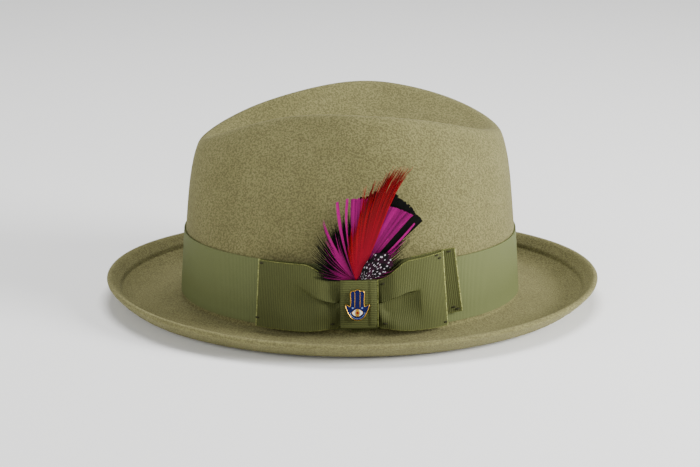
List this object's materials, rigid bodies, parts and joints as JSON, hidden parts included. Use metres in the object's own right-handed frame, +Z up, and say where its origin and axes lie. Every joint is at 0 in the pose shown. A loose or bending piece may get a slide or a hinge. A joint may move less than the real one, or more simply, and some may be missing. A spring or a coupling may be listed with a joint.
{
  "type": "trilby",
  "caption": "Soft felt hat with a creased crown pinched at the front, a curled brim with a turned edge, a ribbon band with a flat bow, a feather mount and a hand-shaped enamel pin.",
  "frame": {"origin": "on the surface that the hat stands on, below the middle of the brim", "axes": "+Z up to the crown, -X towards the front of the hat, -Y towards the wearer's left side, which carries the bow"},
  "size_m": [0.2995, 0.2622, 0.1241],
  "materials": {
    "wool_felt": "matt napped olive wool felt",
    "ribbon": "ribbed olive grosgrain with a slight sheen",
    "black_feather": "glossy dyed feather",
    "magenta_feather": "dyed feather",
    "red_feather": "dyed feather",
    "spotted_feather": "dark feather with pale spots",
    "gilt_metal": "polished gilt",
    "blue_enamel": "glossy enamel",
    "white_enamel": "glossy enamel"
  },
  "bodies": {
    "root": {"felt": "wool_felt", "band": "ribbon", "bow_tail": "ribbon", "bow_front_loop": "ribbon", "bow_rear_loop": "ribbon", "bow_knot": "ribbon", "feather_black": "black_feather", "feather_magenta": "magenta_feather", "feather_red": "red_feather", "feather_spotted": "spotted_feather", "pin_base": "gilt_metal", "pin_enamel": "blue_enamel", "pin_eye": "white_enamel"}
  },
  "joints": []
}
